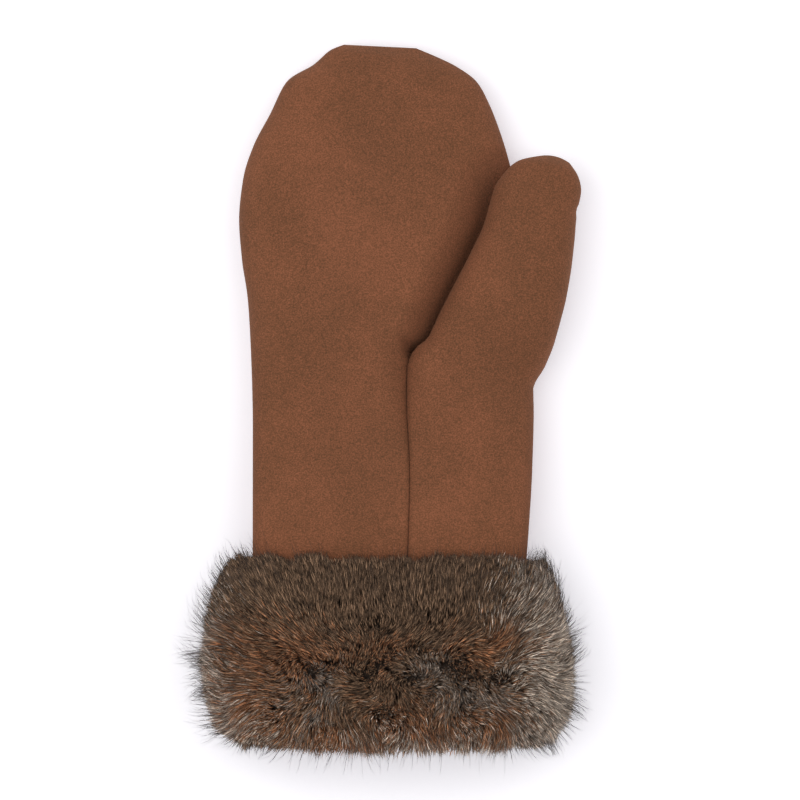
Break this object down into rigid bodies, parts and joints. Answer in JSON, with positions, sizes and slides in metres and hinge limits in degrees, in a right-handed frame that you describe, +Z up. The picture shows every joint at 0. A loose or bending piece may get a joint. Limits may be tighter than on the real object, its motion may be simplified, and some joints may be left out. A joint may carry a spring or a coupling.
{
  "type": "fur-cuffed suede mitten",
  "caption": "Right-hand suede mitten lying palm up, hollow, with a curved sewn thumb, a long palm seam and a deep banded-brown fur cuff round the open wrist.",
  "frame": {"origin": "middle of the mitten's bounding box in plan, on the surface that it lies on", "axes": "+Y towards the fingertips, +X towards the thumb, +Z up out of the palm"},
  "size_m": [0.154, 0.2828, 0.0631],
  "materials": {
    "suede": "warm mid-brown suede, matt, with a fine soft nap",
    "fur": "deep rabbit-like fur, dark at the root, tan and grey bands with dark tips, rust and blue-grey patches"
  },
  "bodies": {
    "root": {"back_panel": "suede", "palm_panel": "suede", "thumb_panel": "suede", "thumb_back": "suede", "fur_cuff": "fur"}
  },
  "joints": []
}
